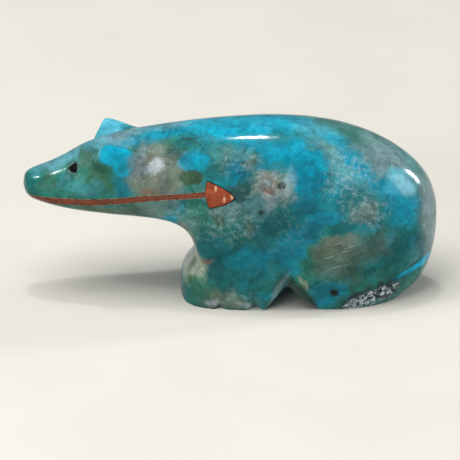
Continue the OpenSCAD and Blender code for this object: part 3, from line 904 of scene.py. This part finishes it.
def flecks(p, ground, soft, crisp):
    """Pale wisps, white flecks and dark specks, mostly in the flecked places."""
    flecked = shares(p, soft, FLECKED)
    wisp = p.noise(crisp[0], 1.0, 6, 0.62, 0.3)
    share = p.step(wisp, 0.46, 0.7)
    share = p.math("MULTIPLY", share, p.math("ADD", p.math("MULTIPLY", flecked, 0.62), 0.02))
    ground = p.mix(share, ground, tint("pale"))
    fleck = p.step(p.noise(crisp[0], 0.45, 6, 0.7, 0.2), 0.52, 0.74)
    share = p.math("MULTIPLY", fleck, p.math("MULTIPLY", flecked, 0.45))
    ground = p.mix(share, ground, tint("white"))
    elsewhere = p.vector("ADD", p.mm, (40, 0, 0))
    speck = p.step(p.noise(elsewhere, 0.6, 4, 0.6), 0.36, 0.3)
    share = p.math("MULTIPLY", speck, p.math("ADD", p.math("MULTIPLY", flecked, 0.5), 0.15))
    return p.mix(share, ground, tint("moss"))


def cracks(p, ground, soft, crisp):
    """Thin dark cracks, mostly in the cracked places."""
    seam = p.math("ABSOLUTE", p.math("SUBTRACT", p.noise(crisp[0], 2.4, 5, 0.55, 0.5), 0.5))
    share = p.math("MULTIPLY", p.step(seam, 0.02, 0.006), p.step(p.noise(p.mm, 1.5, 2), 0.44, 0.56))
    share = p.math("MULTIPLY", share, p.math("ADD", shares(p, soft, CRACKED), 0.06))
    return p.mix(share, ground, tint("slate"))


def scratches(p):
    """Share of the fine scratches that polishing left on the belly."""
    settings = {"Vector": p.mm, "Rotation": (0, -math.radians(SCRATCH_SLOPE), 0), "Scale": SCRATCH_SCALE}
    along = p.node("ShaderNodeMapping", {"vector_type": "TEXTURE"}, settings)
    scratch = p.step(p.noise(along.outputs[0], 1, 2, 0.5), 0.63, 0.68)
    return p.math("MULTIPLY", scratch, p.spot(p.places(p.mm), *SCRATCHED))


def stone_paint():
    """Turquoise and chrysocolla: broad tones, placed colour areas, then finer and finer marks."""
    p = Paint(
        "turquoise_stone",
        IOR=1.52,
        Subsurface_Weight=0.06,
        Subsurface_Radius=(0.6, 1.0, 1.0),
        Subsurface_Scale=1.2 * MM,
    )
    # places moved about by noise: much, and in finer waves that keep closer to the true place
    broad = p.shifted(p.mm, 5.5, 4.5, 3)
    warped = p.shifted(broad, 2.0, 2.6, 3)
    close = p.shifted(p.mm, 1.8, 1.0, 3)
    drift = p.vector("SUBTRACT", p.noise(warped, 0.9, 5, 0.62, out="Color"), (0.5, 0.5, 0.5))
    ground = broad_tones(p, warped)
    soft = p.places(p.vector("MULTIPLY_ADD", drift, (1.1, 1.1, 1.1), warped))
    crisp = p.places(p.vector("MULTIPLY_ADD", drift, (1.0, 1.0, 1.0), close))
    plain = p.places(p.vector("MULTIPLY_ADD", drift, (0.5, 0.5, 0.5), p.mm))
    ground = colour_areas(p, ground, soft, crisp, plain)
    ground = clouds(p, ground, soft, crisp)
    ground = flecks(p, ground, soft, crisp)
    ground = cracks(p, ground, soft, crisp)

    # broken spot at the hind foot, full of white crumbs
    broken = p.spot(p.places(close), *ROUGH_SPOT, 0.2, 1.0)
    crumbs = p.step(p.noise(close, 0.7, 5, 0.74, 0.8), 0.5, 0.56)
    ground = p.mix(p.math("MULTIPLY", crumbs, broken), ground, tint("crumb"))
    scratch = scratches(p)
    ground = p.mix(p.math("MULTIPLY", scratch, 0.7), ground, tint("pale"))
    ground = p.mix(1.0, ground, (GAIN, GAIN, GAIN, 1), "MULTIPLY")
    p.set(p.shader.inputs["Base Color"], ground)

    rough = p.step(p.noise(p.mm, 1.8, 5, 0.6), 0.3, 0.7, 0.09, 0.17)
    rough = p.math("ADD", rough, p.math("MULTIPLY", broken, 0.4))
    rough = p.math("ADD", rough, p.math("MULTIPLY", scratch, 0.25))
    rough = p.math("ADD", rough, p.spot(p.places(p.mm), *DULL_BROW))
    p.set(p.shader.inputs["Roughness"], rough)
    p.bump(p.noise(p.mm, 0.35, 4, 0.6), 0.12, 0.05)
    p.bump(p.noise(p.mm, 2.5, 2), 0.25, 0.08)
    grit = p.noise(p.mm, 0.3, 5, 0.7)
    p.bump(p.math("MULTIPLY", grit, p.spot(p.places(p.mm), *ROUGH_SPOT, 0.3, 1.0)), 0.9, 0.25)
    return p.material


# Dark specks of the red stones, and the pale tone of the glints painted on the arrowheads in place of
# highlights.
SPECK, GLINT_TONE = (48, 26, 18), (222, 176, 146)


def red_paint(name, base, dark, light, marks=()):
    """Red stone with darker grain along the bear, lighter patches and dark specks, and painted highlights as
    pale spots at the given marks.
    """
    p = Paint(name, IOR=1.56)
    stretched = p.vector("MULTIPLY", p.mm, (0.35, 1, 1))
    tone = p.mix(p.step(p.noise(stretched, 0.7, 5, 0.6, 0.5), 0.35, 0.65), colour(*dark), colour(*base))
    tone = p.mix(p.step(p.noise(p.mm, 0.5, 6, 0.65), 0.56, 0.72, 0, 0.7), tone, colour(*light))
    tone = p.mix(p.step(p.noise(p.mm, 0.22, 2), 0.36, 0.28, 0, 0.6), tone, colour(*SPECK))
    at = p.places(p.shifted(p.mm, 0.3, 0.12))
    # painted highlights: pale spots that stand in for glints on the polish
    for centre, radii in marks:
        tone = p.mix(p.spot(at, centre, radii, 0, 0.5, 0.7), tone, colour(*GLINT_TONE))
    p.set(p.shader.inputs["Base Color"], tone)
    p.set(p.shader.inputs["Roughness"], p.step(p.noise(p.mm, 0.8, 4), 0.3, 0.7, 0.16, 0.3))
    p.bump(p.noise(p.mm, 0.2, 4, 0.6), 0.2, 0.03)
    return p.material


# Painted glints on the arrowheads, pale spots that stand in for highlights on the polish, one of them on the
# bevel at the tip: centre, radii.
PAINTED_GLINTS = [
    ((-2.4, -9, 22.5), (0.2, 2, 0.45)),
    ((-0.95, -9, 20.8), (0.22, 2, 0.5)),
    ((0.35, -9, 21.3), (0.3, 2, 0.55)),
    ((-1.5, 9, 21.9), (0.2, 2, 0.45)),
]


def jet_paint():
    p = Paint("jet", IOR=1.45)
    cloud = p.step(p.noise(p.mm, 0.5, 5), 0.35, 0.7)
    tone = p.mix(cloud, (0.001, 0.001, 0.001, 1), (0.006, 0.005, 0.005, 1))
    p.set(p.shader.inputs["Base Color"], tone)
    p.set(p.shader.inputs["Roughness"], p.step(p.noise(p.mm, 0.4, 4), 0.3, 0.7, 0.05, 0.1))
    p.bump(p.noise(p.mm, 0.3, 3), 0.15, 0.03)
    return p.material


def cement_paint(name, base, dark, level):
    """Cement in two tones, the dark one where the noise is below this level."""
    p = Paint(name, IOR=1.52)
    patches = p.step(p.noise(p.mm, 0.8, 5, 0.6), level - 0.06, level + 0.06)
    tone = p.mix(patches, colour(*dark), colour(*base))
    p.set(p.shader.inputs["Base Color"], tone)
    p.set(p.shader.inputs["Roughness"], p.step(p.noise(p.mm, 0.5, 4), 0.3, 0.7, 0.15, 0.4))
    p.bump(p.noise(p.mm, 0.25, 4, 0.6), 0.4, 0.05)
    return p.material


PAINTS = {
    "stone_body": stone_paint(),
    "heartline": red_paint("heartline_stone", (120, 62, 42), (96, 52, 36), (140, 86, 64)),
    "arrowhead": red_paint("arrowhead_stone", (150, 68, 36), (126, 54, 28), (174, 104, 70), PAINTED_GLINTS),
    "eye": jet_paint(),
    "eye_glue": cement_paint("clear_cement", (72, 112, 100), (40, 84, 72), 0.5),
    "heartline_glue": cement_paint("pale_cement", (158, 170, 140), (40, 40, 30), 0.44),
    "arrowhead_glue": cement_paint("dark_cement", (24, 22, 18), (8, 8, 8), 0.5),
}
SHARP_ANGLE = 38


def kind_of(node):
    """The name of a node without its side and without a sliver's place in the line."""
    for word in ("left_", "right_", "_front", "_middle", "_rear"):
        node = node.replace(word, "")
    return node


for node, piece in pieces.items():
    piece.data.materials.clear()
    piece.data.materials.append(PAINTS[kind_of(node)])
    piece.data.polygons.foreach_set("use_smooth", [True] * len(piece.data.polygons))
    piece.data.set_sharp_from_angle(angle=math.radians(SHARP_ANGLE))
    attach(piece, "root")
    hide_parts(node)

# ---------------------------------------------------------------- floor, light and camera

scene = bpy.context.scene
low, high = (Vector(corner) for corner in CAD_BOX)
length = high.x - low.x
middle = (low + high) / 2


def aim(obj, target):
    obj.rotation_euler = (target - obj.location).to_track_quat("-Z", "Y").to_euler()


def link(name, data, location):
    obj = bpy.data.objects.new(name, data)
    obj.location = location
    scene.collection.objects.link(obj)
    return obj


def floor_paint():
    p = Paint("floor_paper", Roughness=0.75)
    cloud = p.step(p.noise(p.mm, 30, 3), 0.35, 0.65)
    tone = p.mix(cloud, (0.62, 0.59, 0.53, 1), (0.64, 0.61, 0.55, 1))
    p.set(p.shader.inputs["Base Color"], tone)
    p.bump(p.noise(p.mm, 0.5, 4), 0.1, 0.05)
    return p.material


FLOOR_PAPER = floor_paint()
FLOOR_REACH = 3000
# Two halves: name, edges along y, and whether the bear's polish mirrors it.
FLOORS = [("floor_front", -FLOOR_REACH, 0, False), ("floor_rear", 0, FLOOR_REACH, True)]
for name, near_edge, far_edge, mirrored in FLOORS:
    corners = [(x, y, 0.0) for x in (-FLOOR_REACH, FLOOR_REACH) for y in (near_edge, far_edge)]
    floor = mesh_object(name, corners, [(0, 2, 3, 1)])
    floor.location.z = low.z
    floor.data.materials.append(FLOOR_PAPER)
    floor.visible_glossy = mirrored

world = bpy.data.worlds.new("studio")
scene.world = world
world.use_nodes = True
background = world.node_tree.nodes["Background"]
background.inputs["Color"].default_value = (0.93, 0.97, 1, 1)
background.inputs["Strength"].default_value = 0.21


def lamp(name, direction, distance, size, power, glossy=True, shade=(1, 1, 1)):
    """Area lamp this far from the bear's middle. One that isn't glossy makes no highlight."""
    data = bpy.data.lights.new(name, "AREA")
    data.shape = "RECTANGLE"
    data.size, data.size_y = size
    data.energy = power
    data.color = shade
    obj = link(name, data, middle + Vector(direction).normalized() * distance)
    aim(obj, middle)
    obj.visible_glossy = glossy
    obj.visible_camera = False


lamp("soft_box", (-0.25, -0.2, 0.95), 0.6, (0.5, 0.5), 3.8, glossy=False)
lamp("fill", (-0.55, -0.8, 0.22), 0.8, (0.5, 0.5), 2.8, glossy=False)
lamp("ceiling_lamp", (-0.05, 0.08, 0.99), 1.5, (0.07, 0.07), 3.4)
lamp("left_lamp", (-0.64, -0.2, 0.74), 1.5, (0.055, 0.055), 1.8)
lamp("window", (0.92, 0.26, 0.32), 1.5, (0.17, 0.46), 8.8, shade=(0.92, 0.97, 1))
lamp("side_wall", (0.92, -0.19, 0.3), 1.5, (0.6, 0.66), 4.2)

# A long lens looks down on the bear's left flank.
LENS, SENSOR = 600, 36
VIEW_ELEVATION = math.radians(25)
# Width of the picture at the bear, and height of the point that the camera looks at.
FRAME_WIDTH = 1.114 * length
TARGET_Z = low.z + 0.34 * (high.z - low.z)
camera = link("camera", bpy.data.cameras.new("camera"), (0, 0, 0))
camera.data.lens, camera.data.sensor_width = LENS, SENSOR
camera.data.clip_start = 0.01
target = Vector((middle.x, middle.y, TARGET_Z))
distance = FRAME_WIDTH * LENS / SENSOR
camera.location = target + distance * Vector((0, -math.cos(VIEW_ELEVATION), math.sin(VIEW_ELEVATION)))
aim(camera, target)
scene.camera = camera
scene.view_settings.view_transform = "Standard"
